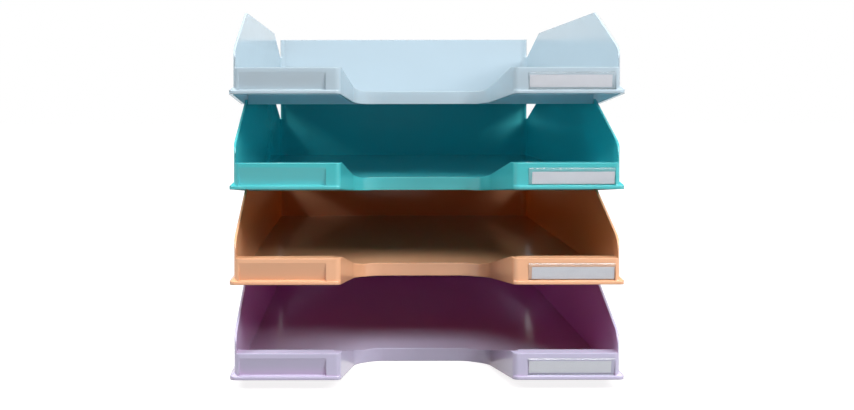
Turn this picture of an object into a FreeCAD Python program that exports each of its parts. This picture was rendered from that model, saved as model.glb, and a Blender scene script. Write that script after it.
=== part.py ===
import FreeCAD, Part
import math
import os
import Sketcher
from FreeCAD import Vector

# A stack of four moulded letter trays. The wing tops of each tray stand in the channel
# under the tray above it. The front right block of each tray carries a clear label
# holder with a blank card in it.
# The origin is under the middle of the lowest tray. The open front faces -Y, and +Z is up.

# The sizes below are in millimetres. Heights count from the tray's base, and depths
# from the front edge of its flange.
SIZES = {
    # Plan of one tray
    "tray_width": 256.2,
    "tray_depth": 346.0,
    "flange_front_round": 4.0,
    "flange_back_round": 9.5,
    "flange_side": 2.8,
    "flange_back": 2.2,
    "flange_front": 1.0,
    "flare_inset": 0.3,
    "wall_front_round": 4.0,
    "wall_back_round": 7.5,
    "wall": 1.5,
    "block_depth": 9.9,
    "block_skin": 3.2,
    # Heights
    "overall_height": 65.2,
    "base_rise": 7.2,
    "plate": 2.0,
    "front_height": 24.1,
    "wing_front": 34.8,
    "notch_height": 45.2,
    "back_height": 63.4,
    # Side wall seen from the side
    "wing_peak": 66.5,
    "wing_tail": 274.0,
    "notch_end": 340.5,
    "notch_floor": 3.6,
    "wing_round": 4.0,
    "wing_front_round": 16.0,
    "tail_round": 4.0,
    "notch_round": 1.7,
    # Finger scoop in the front edge
    "scoop_mouth": 112.8,
    "scoop_root": 90.8,
    "scoop_reach": 69.5,
    "scoop_round": 21.0,
    "scoop_end_round": 3.8,
    "inner_end_round": 2.0,
    "rim_start": 8.0,
    "scoop_fall": 64.5,
    # Underside and stacking
    "toe_depth": 66.0,
    "nest_clearance": 0.3,
    "rim": 2.0,
    "nest": 3.4,
    "rest_width": 2.0,
    "rest_first": 90.0,
    "rest_spacing": 82.0,
    # Label recess and its holder
    "label_margin": 3.5,
    "label_width": 56.2,
    "label_foot": 9.8,
    "label_tall": 11.4,
    "recess_bottom": 1.9,
    "recess_draft": 0.05,
    "holder_clearance": 0.1,
    "holder_end_gap": 0.2,
    "holder_window": 0.5,
    "holder_lip": 0.5,
    "holder_thick": 0.9,
    "holder_edge": 0.25,
    "card_width": 53.3,
    "card_tall": 8.0,
    "card_thick": 0.3,
}

# The trays from the bottom up, and where each card lies in its holder
TRAYS = ["lilac", "peach", "teal", "blue"]
CARD_SHIFT = {"lilac": -0.9, "peach": 0.9, "teal": 1.0, "blue": -0.7}
CARD_RISE = {"lilac": 0.9, "peach": 0.2, "teal": 0.1, "blue": 1.0}

REST_COUNT = 3
MARGIN = 2.0

doc = FreeCAD.newDocument("LetterTrays")
sheet = doc.addObject("Spreadsheet::Sheet", "Sizes")


def fill_sheet():
    """Writes every size in a cell of its own and gives the cell its name."""
    cells = dict(SIZES)
    for tray in TRAYS:
        cells["card_shift_" + tray] = CARD_SHIFT[tray]
        cells["card_rise_" + tray] = CARD_RISE[tray]
    for row, (alias, size) in enumerate(cells.items(), start=1):
        sheet.set("A%d" % row, alias)
        sheet.set("B%d" % row, str(size))
        sheet.setAlias("B%d" % row, alias)
    doc.recompute()


fill_sheet()

# Places that several features share, written with the names in the sheet
FRONT = "(-Sizes.tray_depth / 2)"
BACK = "(Sizes.tray_depth / 2)"
HALF = "(Sizes.tray_width / 2)"
FLOOR = "(Sizes.base_rise + Sizes.plate)"
WALL_X = "(%s - Sizes.flange_side)" % HALF
WALL_FRONT = "(%s + Sizes.flange_front)" % FRONT
WALL_BACK = "(%s - Sizes.flange_back)" % BACK
ROOM_X = "(%s - Sizes.wall)" % WALL_X
ROOM_FRONT = "(%s + Sizes.block_depth)" % WALL_FRONT
ROOM_BACK = "(%s - Sizes.wall)" % WALL_BACK
FRONT_ROUND = "(Sizes.wall_front_round - Sizes.wall)"
BACK_ROUND = "(Sizes.wall_back_round - Sizes.wall)"
SKIRT_X = "(%s + Sizes.nest_clearance)" % WALL_X
SKIRT_BACK = "(%s + Sizes.nest_clearance)" % WALL_BACK
RIM_X = "(%s - Sizes.nest_clearance)" % ROOM_X
RIM_BACK = "(%s - Sizes.nest_clearance)" % ROOM_BACK
TOP = "(Sizes.overall_height + %s)" % MARGIN
SCOOP_SLOPE = "((Sizes.scoop_mouth - Sizes.scoop_root) / 2 / Sizes.scoop_reach)"
PITCH = "(Sizes.overall_height - Sizes.nest)"
LEAN = "atan(Sizes.recess_bottom / Sizes.label_tall)"
LABEL_MIDDLE = "(%s - Sizes.label_margin - Sizes.label_width / 2)" % WALL_X


def minus(text):
    return "(-%s)" % text


def deep(text):
    """A place that lies so far behind the front edge of the flange."""
    return "(%s + %s)" % (FRONT, text)


def scoop_x(depth, inset):
    """Half width of the scoop at a depth, measured on a line set off into the wall."""
    return "(Sizes.scoop_mouth / 2 - (%s) * %s + (%s) * sqrt(1 + %s ^ 2))" % (
        depth, SCOOP_SLOPE, inset, SCOOP_SLOPE)


def origin_plane(body, role):
    for feature in body.Origin.OriginFeatures:
        if feature.Role == role:
            return feature
    raise ValueError(role)


def value(sketch, text):
    return float(sketch.evalExpression(text))


def draw_loop(sketch, corners):
    """Draws a closed outline. Each corner is (across, up, radius or None), as expressions."""
    points = [Vector(value(sketch, c[0]), value(sketch, c[1]), 0) for c in corners]
    count = len(points)
    starts = list(points)
    ends = list(points)
    arcs = {}
    for i, corner in enumerate(corners):
        if corner[2] is None:
            continue
        before = (points[i - 1] - points[i]).normalize()
        after = (points[(i + 1) % count] - points[i]).normalize()
        half_angle = before.getAngle(after) / 2
        radius = value(sketch, corner[2])
        reach = radius / math.tan(half_angle)
        middle = points[i] + (before + after).normalize() * (radius / math.sin(half_angle))
        ends[i] = points[i] + before * reach
        starts[i] = points[i] + after * reach
        arcs[i] = (middle, radius)
    sides = []
    for i in range(count):
        line = Part.LineSegment(starts[i], ends[(i + 1) % count])
        sides.append(sketch.addGeometry(line, False))
    for i, corner in enumerate(corners):
        side_in = sides[i - 1]
        side_out = sides[i]
        if i in arcs:
            middle, radius = arcs[i]
            add_round(sketch, side_in, side_out, middle, radius, corner, points[i])
        else:
            sketch.addConstraint(Sketcher.Constraint("Coincident", side_in, 2, side_out, 1))
            place_point(sketch, side_out, 1, corner, points[i])


def place_point(sketch, item, end, corner, point):
    """Ties one point to the sheet, across and up."""
    across = sketch.addConstraint(Sketcher.Constraint("DistanceX", -1, 1, item, end, point.x))
    sketch.setExpression("Constraints[%d]" % across, corner[0])
    up = sketch.addConstraint(Sketcher.Constraint("DistanceY", -1, 1, item, end, point.y))
    sketch.setExpression("Constraints[%d]" % up, corner[1])


def add_round(sketch, side_in, side_out, middle, radius, corner, point):
    """Rounds one corner. The sharp corner stays as a construction point."""
    start = sketch.Geometry[side_in].EndPoint
    end = sketch.Geometry[side_out].StartPoint
    angle_in = math.atan2(start.y - middle.y, start.x - middle.x)
    angle_out = math.atan2(end.y - middle.y, end.x - middle.x)
    turn = (angle_out - angle_in) % (2 * math.pi)
    circle = Part.Circle(middle, Vector(0, 0, 1), radius)
    if turn < math.pi:
        arc = sketch.addGeometry(Part.ArcOfCircle(circle, angle_in, angle_in + turn), False)
        first, last = 1, 2
    else:
        back = 2 * math.pi - turn
        arc = sketch.addGeometry(Part.ArcOfCircle(circle, angle_out, angle_out + back), False)
        first, last = 2, 1
    tip = sketch.addGeometry(Part.Point(point), True)
    sketch.addConstraint(Sketcher.Constraint("Tangent", side_in, 2, arc, first))
    sketch.addConstraint(Sketcher.Constraint("Tangent", side_out, 1, arc, last))
    size = sketch.addConstraint(Sketcher.Constraint("Radius", arc, radius))
    sketch.setExpression("Constraints[%d]" % size, corner[2])
    sketch.addConstraint(Sketcher.Constraint("PointOnObject", tip, 1, side_in))
    sketch.addConstraint(Sketcher.Constraint("PointOnObject", tip, 1, side_out))
    place_point(sketch, tip, 1, corner, point)


def new_sketch(body, name, plane, loops, lift="0"):
    """A sketch on one of the body's own planes, raised from it by the lift."""
    sketch = body.newObject("Sketcher::SketchObject", name)
    sketch.AttachmentSupport = [(origin_plane(body, plane), "")]
    sketch.MapMode = "FlatFace"
    sketch.setExpression("AttachmentOffset.Base.z", lift)
    for corners in loops:
        draw_loop(sketch, corners)
    doc.recompute()
    return sketch


def pad(body, name, sketch, length, both_ways=False):
    """Adds material and makes sure that the body grows."""
    old = body.Shape.Volume if body.Tip else 0.0
    feature = body.newObject("PartDesign::Pad", name)
    feature.Profile = sketch
    feature.SideType = "Symmetric" if both_ways else "One side"
    feature.setExpression("Length", length)
    doc.recompute()
    if not body.Shape.Volume > old:
        raise ValueError(name + " adds nothing")
    return feature


def pocket(body, name, sketch, length, both_ways=False, up=False):
    """Takes material away and makes sure that the body shrinks."""
    old = body.Shape.Volume
    feature = body.newObject("PartDesign::Pocket", name)
    feature.Profile = sketch
    feature.SideType = "Symmetric" if both_ways else "One side"
    feature.Reversed = up
    feature.setExpression("Length", length)
    doc.recompute()
    if not body.Shape.Volume < old:
        raise ValueError(name + " removes nothing")
    return feature


def rectangle(x_half, y_low, y_high, front_round, back_round):
    """Corners of an upright rectangle about the middle line."""
    return [
        (minus(x_half), y_low, front_round),
        (x_half, y_low, front_round),
        (x_half, y_high, back_round),
        (minus(x_half), y_high, back_round),
    ]


def mirrored(half_outline):
    """Completes an outline from its right half, which runs from the front to the back."""
    left = [(minus(x), y, r) for (x, y, r) in reversed(half_outline)]
    return half_outline + left


# Base: the flange plate and the block under it, which is hollowed out later.
def add_base(body):
    loop = rectangle(HALF, FRONT, BACK, "Sizes.flange_front_round", "Sizes.flange_back_round")
    sketch = new_sketch(body, "base_plan", "XY_Plane", [loop])
    pad(body, "base", sketch, FLOOR)


# Flare: the sides and the back run out into the flange at 45 degrees.
def add_flare(body):
    half = "(%s - Sizes.flare_inset)" % HALF
    back = "(%s - Sizes.flare_inset)" % BACK
    flare = "(Sizes.flange_side - Sizes.flare_inset)"
    front = "(%s + Sizes.flange_front)" % FRONT
    back_round = "(Sizes.flange_back_round - Sizes.flare_inset)"
    loop = rectangle(half, front, back, None, back_round)
    sketch = new_sketch(body, "flare_plan", "XY_Plane", [loop], FLOOR)
    feature = pad(body, "flare", sketch, flare)
    feature.TaperAngle = -45.0
    doc.recompute()


# Walls: a block with the outline of the walls, with the room for the paper cut out of it.
def add_walls(body):
    loop = rectangle(WALL_X, WALL_FRONT, WALL_BACK,
                     "Sizes.wall_front_round", "Sizes.wall_back_round")
    sketch = new_sketch(body, "wall_plan", "XY_Plane", [loop], FLOOR)
    pad(body, "wall_block", sketch, "(%s - %s)" % (TOP, FLOOR))


def room_outline(front, x_half, y_front, y_back, inset, end_round):
    """Outline that keeps a wall of the given thickness beside the scoop."""
    lip = "(Sizes.scoop_reach + %s)" % inset
    lip_round = "(Sizes.scoop_round + %s)" % inset
    half_outline = [
        (scoop_x(lip, inset), deep(lip), lip_round),
        (scoop_x(front, inset), y_front, end_round),
        (x_half, y_front, FRONT_ROUND),
        (x_half, y_back, BACK_ROUND),
    ]
    return mirrored(half_outline)


def cut_room(body):
    front = "(Sizes.flange_front + Sizes.block_depth)"
    loop = room_outline(front, ROOM_X, ROOM_FRONT, ROOM_BACK, "Sizes.wall",
                        "Sizes.inner_end_round")
    sketch = new_sketch(body, "room_plan", "XY_Plane", [loop], TOP)
    pocket(body, "room", sketch, "(%s - %s)" % (TOP, FLOOR))


# Wings: the outline of the side walls and the back wall, seen from the side.
def cut_wings(body):
    high = "(%s + %s)" % (TOP, MARGIN)
    before = "(%s - %s)" % (FRONT, MARGIN)
    behind = "(%s + %s)" % (BACK, MARGIN)
    peak = "Sizes.overall_height"
    notch_start = deep("(Sizes.notch_end - Sizes.notch_floor)")
    loop = [
        (before, "Sizes.front_height", None),
        (WALL_FRONT, "Sizes.front_height", None),
        (WALL_FRONT, "Sizes.wing_front", "Sizes.wing_front_round"),
        (deep("Sizes.wing_peak"), peak, "Sizes.wing_round"),
        (deep("Sizes.wing_tail"), peak, "Sizes.tail_round"),
        (notch_start, "Sizes.notch_height", "Sizes.notch_round"),
        (deep("Sizes.notch_end"), "Sizes.notch_height", "Sizes.notch_round"),
        (deep("Sizes.notch_end"), "Sizes.back_height", None),
        (behind, "Sizes.back_height", None),
        (behind, high, None),
        (before, high, None),
    ]
    sketch = new_sketch(body, "wing_profile", "YZ_Plane", [loop])
    pocket(body, "wings", sketch, "(Sizes.tray_width + %s)" % MARGIN, both_ways=True)


# Front: the blocks between the wings are low, so that paper can be seen and reached.
def cut_front(body):
    high = "(%s + %s)" % (TOP, MARGIN)
    before = "(%s - %s)" % (FRONT, MARGIN)
    inside = "(%s + %s)" % (ROOM_FRONT, FRONT_ROUND)
    loop = [
        (before, "Sizes.front_height", None),
        (inside, "Sizes.front_height", None),
        (inside, high, None),
        (before, high, None),
    ]
    sketch = new_sketch(body, "front_profile", "YZ_Plane", [loop])
    pocket(body, "low_front", sketch, "(2 * %s)" % ROOM_X, both_ways=True)


# Scoop rim: the walls beside the scoop fall from the top of the blocks to the floor.
def cut_scoop_rim(body):
    high = "(%s + %s)" % (TOP, MARGIN)
    before = "(%s - %s)" % (FRONT, MARGIN)
    behind = deep("(Sizes.scoop_reach + Sizes.wall + %s)" % MARGIN)
    loop = [
        (before, "Sizes.front_height", None),
        (deep("Sizes.rim_start"), "Sizes.front_height", None),
        (deep("Sizes.scoop_fall"), FLOOR, None),
        (behind, FLOOR, None),
        (behind, high, None),
        (before, high, None),
    ]
    sketch = new_sketch(body, "rim_profile", "YZ_Plane", [loop])
    across = "(Sizes.scoop_mouth + 2 * Sizes.scoop_end_round)"
    pocket(body, "scoop_rim", sketch, across, both_ways=True)


# Underside: a skirt round the outside, an inner rim, and a channel between the two.
def hollow_underside(body):
    loop = room_outline("Sizes.flange_front", SKIRT_X, WALL_FRONT, SKIRT_BACK,
                        "Sizes.wall", "Sizes.inner_end_round")
    sketch = new_sketch(body, "underside_plan", "XY_Plane", [loop])
    pocket(body, "underside", sketch, "Sizes.base_rise", up=True)


def hollow_block(body, name, side):
    """Each front block is hollow from below, so that the plastic sets evenly."""
    near = "(%s + Sizes.block_skin)" % WALL_FRONT
    far = "(%s - Sizes.wall)" % ROOM_FRONT
    inner = "(%d * (Sizes.scoop_mouth / 2 + Sizes.scoop_end_round))" % side
    outer = "(%d * (%s - Sizes.wall))" % (side, ROOM_X)
    left, right = (inner, outer) if side > 0 else (outer, inner)
    loop = [(left, near, None), (right, near, None), (right, far, None), (left, far, None)]
    sketch = new_sketch(body, name + "_plan", "XY_Plane", [loop], "Sizes.base_rise")
    height = "(Sizes.front_height - Sizes.plate - Sizes.base_rise)"
    pocket(body, name, sketch, height, up=True)


def add_rim(body):
    toe = deep("Sizes.toe_depth")
    outer = rectangle(RIM_X, toe, RIM_BACK, None, BACK_ROUND)
    inner_x = "(%s - Sizes.rim)" % RIM_X
    inner_front = "(%s + Sizes.rim)" % toe
    inner_back = "(%s - Sizes.rim)" % RIM_BACK
    inner = rectangle(inner_x, inner_front, inner_back, None, None)
    sketch = new_sketch(body, "rim_plan", "XY_Plane", [outer, inner])
    pad(body, "rim", sketch, "Sizes.base_rise")


# Rests: short ribs across the channel, which stand on the wing tops of the tray below.
def add_rests(body):
    loops = []
    inner_x = "(%s - Sizes.rim / 2)" % RIM_X
    outer_x = "(%s + Sizes.rim / 2)" % SKIRT_X
    for i in range(REST_COUNT):
        near = deep("(Sizes.rest_first + %d * Sizes.rest_spacing)" % i)
        far = "(%s + Sizes.rest_width)" % near
        loops.append([(inner_x, near, None), (outer_x, near, None),
                      (outer_x, far, None), (inner_x, far, None)])
        loops.append([(minus(inner_x), near, None), (minus(outer_x), near, None),
                      (minus(outer_x), far, None), (minus(inner_x), far, None)])
    sketch = new_sketch(body, "rest_plan", "XY_Plane", loops, "Sizes.nest")
    pad(body, "rests", sketch, "(Sizes.base_rise - Sizes.nest)")


# Scoop: the opening for the fingers, with round ends to the two front blocks.
def cut_scoop(body, name, front_depth, base):
    front = deep(front_depth)
    before = "(%s - %s)" % (front, MARGIN)
    beside = "(Sizes.scoop_mouth / 2 + Sizes.scoop_end_round + %s)" % MARGIN
    half_outline = [
        (scoop_x("Sizes.scoop_reach", "0"), deep("Sizes.scoop_reach"), "Sizes.scoop_round"),
        (scoop_x(front_depth, "0"), front, "Sizes.scoop_end_round"),
        (beside, front, None),
        (beside, before, None),
    ]
    sketch = new_sketch(body, name + "_plan", "XY_Plane", [mirrored(half_outline)], TOP)
    pocket(body, name, sketch, "(%s - %s)" % (TOP, base))


# Toe: the skirt runs up to nothing under the front blocks.
def cut_toe(body):
    below = "(-%s)" % MARGIN
    before = "(%s - %s)" % (FRONT, MARGIN)
    toe = deep("Sizes.toe_depth")
    loop = [
        (before, "Sizes.base_rise", None),
        (FRONT, "Sizes.base_rise", None),
        (toe, "0", None),
        (toe, below, None),
        (before, below, None),
    ]
    sketch = new_sketch(body, "toe_profile", "YZ_Plane", [loop])
    pocket(body, "toe", sketch, "(Sizes.tray_width + %s)" % MARGIN, both_ways=True)


# Label recess: its floor starts flush at the top and leans back, deepest at the foot.
def cut_recess(body, name, side):
    recess = body.newObject("PartDesign::SubtractiveWedge", name)
    half = "Sizes.label_width / 2"
    reach = "(Sizes.recess_bottom + %s)" % MARGIN
    spread = "%s * Sizes.recess_draft" % reach
    recess.setExpression("Ymin", "-" + reach)
    recess.setExpression("Ymax", "0")
    recess.setExpression("Xmin", "-(%s) - %s" % (half, spread))
    recess.setExpression("Xmax", "%s + %s" % (half, spread))
    recess.setExpression("X2min", "-(%s)" % half)
    recess.setExpression("X2max", half)
    recess.setExpression("Zmin", "0")
    recess.setExpression("Z2min", "0")
    recess.setExpression("Zmax", "Sizes.label_tall")
    recess.setExpression("Z2max", "Sizes.label_tall")
    recess.Placement.Rotation = FreeCAD.Rotation(Vector(1, 0, 0), 1)
    recess.setExpression("Placement.Base.x", "%d * %s" % (side, LABEL_MIDDLE))
    recess.setExpression("Placement.Base.y", "%s + Sizes.recess_bottom" % WALL_FRONT)
    recess.setExpression("Placement.Base.z", "Sizes.label_foot")
    recess.setExpression("Placement.Rotation.Angle", LEAN)
    doc.recompute()


def make_tray(tray, level):
    """One tray, moulded in one piece."""
    body = doc.addObject("PartDesign::Body", "tray_" + tray)
    add_base(body)
    add_flare(body)
    add_walls(body)
    cut_room(body)
    cut_wings(body)
    cut_front(body)
    cut_scoop_rim(body)
    hollow_underside(body)
    hollow_block(body, "block_hollow_left", -1)
    hollow_block(body, "block_hollow_right", 1)
    add_rim(body)
    add_rests(body)
    cut_scoop(body, "scoop", "0", "-%s" % MARGIN)
    cut_scoop(body, "block_ends", "Sizes.flange_front", FLOOR)
    cut_toe(body)
    cut_recess(body, "recess_left", -1)
    cut_recess(body, "recess_right", 1)
    body.setExpression("Placement.Base.z", "%d * %s" % (level, PITCH))
    return body


def lay_in_recess(piece, level, shift, out, up):
    """Places a piece on the leaning floor of the right recess."""
    piece.Placement.Rotation = FreeCAD.Rotation(Vector(1, 0, 0), 1)
    wall_y = "(%s + Sizes.recess_bottom)" % WALL_FRONT
    piece.setExpression("Placement.Rotation.Angle", LEAN)
    piece.setExpression("Placement.Base.x", "%s + %s" % (LABEL_MIDDLE, shift))
    piece.setExpression("Placement.Base.y",
                        "%s - %s * cos(%s) - %s * sin(%s)" % (wall_y, out, LEAN, up, LEAN))
    piece.setExpression("Placement.Base.z",
                        "Sizes.label_foot - %s * sin(%s) + %s * cos(%s) + %d * %s"
                        % (out, LEAN, up, LEAN, level, PITCH))


def make_holder(tray, level):
    """Clear cover: a window with a lip along its top and its foot."""
    body = doc.addObject("PartDesign::Body", "label_holder_" + tray)
    tall = "(Sizes.label_tall - 2 * Sizes.holder_clearance)"
    face = "(-Sizes.holder_thick)"
    pane = "(-Sizes.holder_thick + Sizes.holder_window)"
    loop = [
        ("0", "0", None),
        (face, "0", "Sizes.holder_edge"),
        (face, tall, "Sizes.holder_edge"),
        ("0", tall, None),
        ("0", "(%s - Sizes.holder_lip)" % tall, None),
        (pane, "(%s - Sizes.holder_lip)" % tall, None),
        (pane, "Sizes.holder_lip", None),
        ("0", "Sizes.holder_lip", None),
    ]
    sketch = new_sketch(body, "holder_profile", "YZ_Plane", [loop])
    across = "(Sizes.label_width - 2 * Sizes.holder_end_gap)"
    pad(body, "holder", sketch, across, both_ways=True)
    lay_in_recess(body, level, "0", "Sizes.holder_clearance", "Sizes.holder_clearance")
    return body


def make_card(tray, level):
    """Blank card between the window and the floor of the recess."""
    body = doc.addObject("PartDesign::Body", "label_card_" + tray)
    space = "(Sizes.holder_clearance + Sizes.holder_thick - Sizes.holder_window)"
    loop = rectangle("(Sizes.card_width / 2)", "(-Sizes.card_thick / 2)",
                     "(Sizes.card_thick / 2)", None, None)
    sketch = new_sketch(body, "card_plan", "XY_Plane", [loop])
    pad(body, "card", sketch, "Sizes.card_tall")
    foot = "(Sizes.holder_clearance + Sizes.holder_lip + Sizes.card_rise_%s)" % tray
    lay_in_recess(body, level, "Sizes.card_shift_" + tray, "(%s / 2)" % space, foot)
    return body


def build_all():
    pieces = []
    for level, tray in enumerate(TRAYS):
        pieces.append(make_tray(tray, level))
        pieces.append(make_holder(tray, level))
        pieces.append(make_card(tray, level))
    return pieces


def check_and_write(pieces):
    """Stops if any object failed, and writes each piece to a file with its own name."""
    doc.recompute()
    for item in doc.Objects:
        if "Invalid" in item.State or "Error" in item.State:
            raise RuntimeError("failed: " + item.Name)
    for piece in pieces:
        if piece.Shape.isNull() or not piece.Shape.isValid() or len(piece.Shape.Solids) != 1:
            raise RuntimeError("bad shape: " + piece.Label)
    os.makedirs("parts", exist_ok=True)
    for piece in pieces:
        piece.Shape.exportStep("parts/%s.step" % piece.Label)
        box = piece.Shape.BoundBox
        print(piece.Label, round(piece.Shape.Volume, 1), len(piece.Shape.Faces),
              [round(v, 2) for v in (box.XMin, box.XMax, box.YMin, box.YMax, box.ZMin, box.ZMax)])


check_and_write(build_all())
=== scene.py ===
import bpy
import math
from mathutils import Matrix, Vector


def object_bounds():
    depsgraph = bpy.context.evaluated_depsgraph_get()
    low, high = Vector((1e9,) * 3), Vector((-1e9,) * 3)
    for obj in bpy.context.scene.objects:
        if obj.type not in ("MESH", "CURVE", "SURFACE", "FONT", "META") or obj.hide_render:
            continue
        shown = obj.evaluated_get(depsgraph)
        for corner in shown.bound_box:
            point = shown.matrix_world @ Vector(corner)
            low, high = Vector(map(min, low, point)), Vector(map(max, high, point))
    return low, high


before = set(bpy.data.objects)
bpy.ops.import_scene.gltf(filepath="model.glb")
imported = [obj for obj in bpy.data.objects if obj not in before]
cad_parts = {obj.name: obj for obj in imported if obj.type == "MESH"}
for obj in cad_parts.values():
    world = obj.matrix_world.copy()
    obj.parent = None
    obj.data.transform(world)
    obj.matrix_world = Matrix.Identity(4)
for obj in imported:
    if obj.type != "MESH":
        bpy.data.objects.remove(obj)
bpy.ops.object.select_all(action="DESELECT")
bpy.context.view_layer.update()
lowest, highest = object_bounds()


# The trays, from the bottom up: lilac, peach, teal and pale blue. Each is injection moulded
# in one piece from high impact polystyrene and stands on the wing tops of the tray below.
# The mould is polished, so they come out glossy, and show the lamps as soft bright patches.

# Each tray has its surface colour, a deep colour, and the share of the light that its thin walls
# let through. The deep colour tints that light, and it is painted shade as well: light bounced off
# the plastic takes it on in place of the surface colour, which darkens and deepens the rooms.
tray_colours = {
    "lilac": ("#BCB9D3", "#CC7EBC", 0.07),
    "peach": ("#E8AE85", "#D0822E", 0.068),
    "teal": ("#44B1B5", "#00D6E4", 0.041),
    "blue": ("#B7C6D0", "#B4C8D1", 0.2),
}
front_y = lowest.y


def linear(code):
    """Turns an sRGB hex code into linear red, green, blue and alpha."""
    parts = [int(code[i:i + 2], 16) / 255 for i in (1, 3, 5)]
    parts = [p / 12.92 if p <= 0.04045 else ((p + 0.055) / 1.055) ** 2.4 for p in parts]
    return (*parts, 1.0)


def add_node(tree, kind, values=None, links=None, **settings):
    """Adds a node, sets its properties and its input values, and links its inputs."""
    node = tree.nodes.new(kind)
    for name, setting in settings.items():
        setattr(node, name, setting)
    for name, value in (values or {}).items():
        node.inputs[name].default_value = value
    for name, source in (links or {}).items():
        tree.links.new(source, node.inputs[name])
    return node


def new_material(name):
    """A new material, and its node tree, which is empty and ready to be filled."""
    material = bpy.data.materials.new(name)
    material.use_nodes = True
    material.node_tree.nodes.clear()
    return material, material.node_tree


def moulded_polystyrene(name, colour, through_and_painted_shade_colour, let_through):
    """Glossy moulded plastic: soft edges, faint flow clouds, sink marks and a slight peel.

    Thin walls let light through in a deep colour; bounced light takes it on too, as painted shade.
    """
    # The mould rounds every edge, and those at the front a little more.
    front_edge_mm = 0.9
    edge_mm = 0.6
    front_depth_mm = 75.0
    edge_blend_mm = 10.0
    # The colour drifts a little along the flow of the plastic. Where it cooled last, it
    # sank by a tenth of a millimetre, which bends the reflections.
    flow_mm = 70.0
    drift = 0.03
    sink_mm = 40.0
    sink_depth_mm = 0.1
    peel_mm = 3.0
    peel_depth_mm = 0.003
    # Real scuffs are fine hair lines. They are drawn as coarse clouds of gloss, or they
    # would not show.
    scuff_mm = 6.0
    polished_rough = 0.12
    scuffed_rough = 0.2
    material, tree = new_material(name)
    place = add_node(tree, "ShaderNodeTexCoord").outputs["Object"]
    flow = add_node(tree, "ShaderNodeTexNoise", {"Scale": 1000 / flow_mm, "Detail": 3.0},
                    {"Vector": place})
    tint = add_node(tree, "ShaderNodeMix", links={"Factor": flow.outputs["Fac"]}, data_type="RGBA")
    base = linear(colour)[:3]
    tint.inputs["A"].default_value = (*[part * (1 - drift) for part in base], 1.0)
    tint.inputs["B"].default_value = (*[min(part * (1 + drift), 1.0) for part in base], 1.0)
    # Painted shade: light bounced off the plastic takes the deep colour in place of the surface
    # colour, which darkens and deepens the rooms between the walls.
    ray = add_node(tree, "ShaderNodeLightPath")
    shade = add_node(tree, "ShaderNodeMix", data_type="RGBA",
                     links={"Factor": ray.outputs["Is Diffuse Ray"], "A": tint.outputs["Result"]})
    shade.inputs["B"].default_value = linear(through_and_painted_shade_colour)
    scuff = add_node(tree, "ShaderNodeTexNoise",
                     {"Scale": 1000 / scuff_mm, "Detail": 8.0, "Roughness": 0.7},
                     {"Vector": place})
    rough = add_node(tree, "ShaderNodeMapRange",
                     {"To Min": polished_rough, "To Max": scuffed_rough},
                     {"Value": scuff.outputs["Fac"]})
    sink = add_node(tree, "ShaderNodeTexNoise", {"Scale": 1000 / sink_mm, "Detail": 1.0},
                    {"Vector": place})
    peel = add_node(tree, "ShaderNodeTexNoise", {"Scale": 1000 / peel_mm, "Detail": 2.0},
                    {"Vector": place})
    depth = add_node(tree, "ShaderNodeSeparateXYZ", links={"Vector": place})
    front_end = front_y + front_depth_mm / 1000
    reach = add_node(tree, "ShaderNodeMapRange",
                     {"From Min": front_end - edge_blend_mm / 1000, "From Max": front_end,
                      "To Min": front_edge_mm / 1000, "To Max": edge_mm / 1000},
                     {"Value": depth.outputs["Y"]})
    edge = add_node(tree, "ShaderNodeBevel", links={"Radius": reach.outputs["Result"]}, samples=6)
    sink_bump = add_node(tree, "ShaderNodeBump",
                         {"Strength": 1.0, "Distance": sink_depth_mm / 1000},
                         {"Height": sink.outputs["Fac"], "Normal": edge.outputs["Normal"]})
    peel_bump = add_node(tree, "ShaderNodeBump",
                         {"Strength": 1.0, "Distance": peel_depth_mm / 1000},
                         {"Height": peel.outputs["Fac"], "Normal": sink_bump.outputs["Normal"]})
    plastic = add_node(tree, "ShaderNodeBsdfPrincipled", {"IOR": 1.57},
                       {"Base Color": shade.outputs["Result"], "Roughness": rough.outputs["Result"],
                        "Normal": peel_bump.outputs["Normal"]})
    # Light enters a wall by the share that it lets through, and all of it leaves again.
    side = add_node(tree, "ShaderNodeNewGeometry")
    share = add_node(tree, "ShaderNodeMapRange", {"To Min": let_through, "To Max": 1.0},
                     {"Value": side.outputs["Backfacing"]})
    through = add_node(tree, "ShaderNodeBsdfTranslucent", {"Color": linear(through_and_painted_shade_colour)})
    wall = add_node(tree, "ShaderNodeMixShader", links={"Fac": share.outputs["Result"]})
    tree.links.new(plastic.outputs["BSDF"], wall.inputs[1])
    tree.links.new(through.outputs["BSDF"], wall.inputs[2])
    add_node(tree, "ShaderNodeOutputMaterial", links={"Surface": wall.outputs["Shader"]})
    return material


def dress(node, material):
    """Puts one material on all of a piece."""
    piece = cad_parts[node]
    piece.data.materials.clear()
    piece.data.materials.append(material)
    for face in piece.data.polygons:
        face.material_index = 0


for tray, shades in tray_colours.items():
    plastic = moulded_polystyrene("moulded_polystyrene_" + tray, *shades)
    dress("tray_" + tray, plastic)


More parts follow.
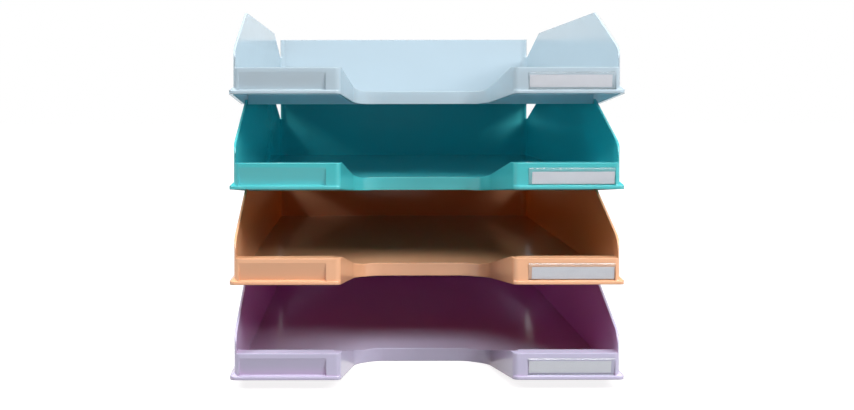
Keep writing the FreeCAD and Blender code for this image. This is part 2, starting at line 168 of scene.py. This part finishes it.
# The label holders: thin clear windows, extruded from polystyrene and cut to length. Each
# lies in the recess of a right block, and its polish makes it catch the lamps.
def clear_polystyrene(name):
    """Clear plastic window whose waves run along it, as the extruder drew them."""
    draw_mm = 5.0
    draw_stretch = 4.0
    draw_depth_mm = 0.06
    edge_mm = 0.2
    material, tree = new_material(name)
    place = add_node(tree, "ShaderNodeTexCoord").outputs["Object"]
    stretch = add_node(tree, "ShaderNodeMapping", {"Scale": (1 / draw_stretch, 1.0, 1.0)},
                       {"Vector": place})
    draw = add_node(tree, "ShaderNodeTexNoise", {"Scale": 1000 / draw_mm, "Detail": 1.0},
                    {"Vector": stretch.outputs["Vector"]})
    edge = add_node(tree, "ShaderNodeBevel", {"Radius": edge_mm / 1000}, samples=6)
    bump = add_node(tree, "ShaderNodeBump", {"Strength": 1.0, "Distance": draw_depth_mm / 1000},
                    {"Height": draw.outputs["Fac"], "Normal": edge.outputs["Normal"]})
    plastic = add_node(tree, "ShaderNodeBsdfPrincipled",
                       {"Base Color": linear("#F7FAFC"), "IOR": 1.5, "Roughness": 0.03,
                        "Transmission Weight": 1.0}, {"Normal": bump.outputs["Normal"]})
    add_node(tree, "ShaderNodeOutputMaterial", links={"Surface": plastic.outputs["BSDF"]})
    return material


window = clear_polystyrene("clear_polystyrene_extruded")
for tray in tray_colours:
    dress("label_holder_" + tray, window)


# The cards: blank slips of smooth white card, cut from a sheet. One lies behind each
# window, where nothing holds it, so each has slid to its own place.
def smooth_card(name):
    """Uncoated white card, matt, with pressed fibres and a faint cloudiness."""
    # Real fibres are far finer. They are drawn as coarse as they need to show.
    fibre_mm = 0.6
    fibre_depth_mm = 0.02
    cloud_mm = 8.0
    material, tree = new_material(name)
    place = add_node(tree, "ShaderNodeTexCoord").outputs["Object"]
    fibre = add_node(tree, "ShaderNodeTexNoise", {"Scale": 1000 / fibre_mm, "Detail": 4.0},
                     {"Vector": place})
    cloud = add_node(tree, "ShaderNodeTexNoise", {"Scale": 1000 / cloud_mm, "Detail": 2.0},
                     {"Vector": place})
    tint = add_node(tree, "ShaderNodeMix", links={"Factor": cloud.outputs["Fac"]}, data_type="RGBA")
    tint.inputs["A"].default_value = linear("#DCDAE0")
    tint.inputs["B"].default_value = linear("#E4E2E6")
    bump = add_node(tree, "ShaderNodeBump", {"Strength": 0.5, "Distance": fibre_depth_mm / 1000},
                    {"Height": fibre.outputs["Fac"]})
    paper = add_node(tree, "ShaderNodeBsdfPrincipled", {"Roughness": 0.8, "IOR": 1.45},
                     {"Base Color": tint.outputs["Result"], "Normal": bump.outputs["Normal"]})
    add_node(tree, "ShaderNodeOutputMaterial", links={"Surface": paper.outputs["BSDF"]})
    return material


card = smooth_card("smooth_white_card")
for tray in tray_colours:
    dress("label_card_" + tray, card)


# The camera: at the height of the top tray's front, left of the middle, and close, as in
# the photo. The photo is a crop of a larger picture, so the view is shifted.
image_width = 854
image_height = 410
sensor_mm = 36.0
focal_px = 931.8
aim_px = (362.2, 115.5)
camera_x = -0.0418
camera_back = 0.600
camera_z = 0.1889
pitch_down = 0.0174
roll = 0.0015
bpy.ops.object.camera_add(location=(camera_x, front_y - camera_back, camera_z),
                          rotation=(math.pi / 2 - pitch_down, roll, 0.0))
camera = bpy.context.object
camera.name = "camera"
camera.data.sensor_fit = "HORIZONTAL"
camera.data.sensor_width = sensor_mm
camera.data.lens = focal_px / image_width * sensor_mm
camera.data.shift_x = (image_width / 2 - aim_px[0]) / image_width
camera.data.shift_y = (aim_px[1] - image_height / 2) / image_width
camera.data.clip_start = 0.01
bpy.context.scene.camera = camera


# The floor: white, and to the camera it glows a little more the farther it is from the
# stack, so that it runs into the white behind it with no line. The shadow stays on it. It
# reaches a little way in front of the stack, where the studio is dark, and far behind it.
def rays_that_see(tree):
    """One for the rays that show the background, and zero for the rays that only light."""
    ray = add_node(tree, "ShaderNodeLightPath")
    seen = add_node(tree, "ShaderNodeMath", operation="MAXIMUM")
    tree.links.new(ray.outputs["Is Camera Ray"], seen.inputs[0])
    tree.links.new(ray.outputs["Is Glossy Ray"], seen.inputs[1])
    shown = add_node(tree, "ShaderNodeMath", operation="MAXIMUM")
    tree.links.new(seen.outputs[0], shown.inputs[0])
    tree.links.new(ray.outputs["Is Transmission Ray"], shown.inputs[1])
    return shown.outputs[0]


def white_floor(name):
    """Matt white paint under the stack that turns to plain white away from it."""
    near_m = 0.3
    far_m = 1.1
    glow_near = 0.86
    material, tree = new_material(name)
    place = add_node(tree, "ShaderNodeTexCoord").outputs["Object"]
    away = add_node(tree, "ShaderNodeVectorMath", operation="LENGTH")
    tree.links.new(place, away.inputs[0])
    glow = add_node(tree, "ShaderNodeMapRange",
                    {"From Min": near_m, "From Max": far_m, "To Min": glow_near, "To Max": 1.0},
                    {"Value": away.outputs["Value"]})
    # The rays that only light find a darker paint, so that little light comes from below.
    paint = add_node(tree, "ShaderNodeBsdfDiffuse", {"Color": linear("#505050")})
    pale = add_node(tree, "ShaderNodeBsdfDiffuse", {"Color": linear("#909090")})
    light = add_node(tree, "ShaderNodeEmission", links={"Strength": glow.outputs["Result"]})
    bright = add_node(tree, "ShaderNodeAddShader")
    tree.links.new(pale.outputs["BSDF"], bright.inputs[0])
    tree.links.new(light.outputs["Emission"], bright.inputs[1])
    both = add_node(tree, "ShaderNodeMixShader", links={"Fac": rays_that_see(tree)})
    tree.links.new(paint.outputs["BSDF"], both.inputs[1])
    tree.links.new(bright.outputs["Shader"], both.inputs[2])
    add_node(tree, "ShaderNodeOutputMaterial", links={"Surface": both.outputs["Shader"]})
    return material


floor_size = 8.0
floor_middle_y = 2.25
bpy.ops.mesh.primitive_plane_add(size=floor_size, location=(0.0, floor_middle_y, lowest.z))
bpy.ops.object.transform_apply(location=True, rotation=False, scale=False)
floor = bpy.context.object
floor.name = "floor"
floor.data.materials.append(white_floor("white_painted_floor"))


# The lamps: one large soft lamp above and in front, one at the right, and a weaker one at
# the left. The studio is dark on the camera's side and the left, and white behind.
def soft_lamp(name, place, aim, width, height, power):
    """A softbox at a place, turned to face the aim."""
    bpy.ops.object.light_add(type="AREA", location=place)
    lamp = bpy.context.object
    lamp.name = name
    lamp.data.shape = "RECTANGLE"
    lamp.data.size = width
    lamp.data.size_y = height
    lamp.data.energy = power
    lamp.rotation_euler = (Vector(aim) - Vector(place)).to_track_quat("-Z", "Y").to_euler()


middle = (0.0, 0.0, (highest.z - lowest.z) / 2)
soft_lamp("lamp_above", (0.1, -1.02, 1.38), middle, width=1.2, height=0.9, power=24.0)
soft_lamp("lamp_right", (1.15, -1.0, 1.1), middle, width=0.5, height=0.7, power=24.0)
soft_lamp("lamp_left", (-1.25, -0.3, 1.2), middle, width=0.5, height=0.7, power=18.0)


def studio_world(name):
    """White to the camera. As a light and in reflections it is white only behind the stack."""
    towards_white = (0.35, 1.0, 0.0)
    dark_until = -0.4
    white_from = 0.2
    dark_share = 0.03
    light_share = 0.8
    world = bpy.data.worlds.new(name)
    world.use_nodes = True
    tree = world.node_tree
    tree.nodes.clear()
    way = add_node(tree, "ShaderNodeTexCoord").outputs["Generated"]
    facing = add_node(tree, "ShaderNodeVectorMath", operation="DOT_PRODUCT")
    tree.links.new(way, facing.inputs[0])
    facing.inputs[1].default_value = towards_white
    behind = add_node(tree, "ShaderNodeMapRange",
                      {"From Min": dark_until, "From Max": white_from,
                       "To Min": dark_share, "To Max": 1.0},
                      {"Value": facing.outputs["Value"]})
    light = add_node(tree, "ShaderNodeMath", operation="MULTIPLY")
    tree.links.new(behind.outputs["Result"], light.inputs[0])
    light.inputs[1].default_value = light_share
    ray = add_node(tree, "ShaderNodeLightPath")
    shown = add_node(tree, "ShaderNodeMath", operation="MAXIMUM")
    tree.links.new(behind.outputs["Result"], shown.inputs[0])
    tree.links.new(ray.outputs["Is Camera Ray"], shown.inputs[1])
    strength = add_node(tree, "ShaderNodeMix", links={"Factor": rays_that_see(tree),
                                                      "A": light.outputs[0],
                                                      "B": shown.outputs[0]})
    sky = add_node(tree, "ShaderNodeBackground", {"Color": linear("#FFFFFF")},
                   {"Strength": strength.outputs["Result"]})
    add_node(tree, "ShaderNodeOutputWorld", links={"Surface": sky.outputs["Background"]})
    return world


bpy.context.scene.world = studio_world("studio_white")
bpy.context.scene.view_settings.view_transform = "Standard"
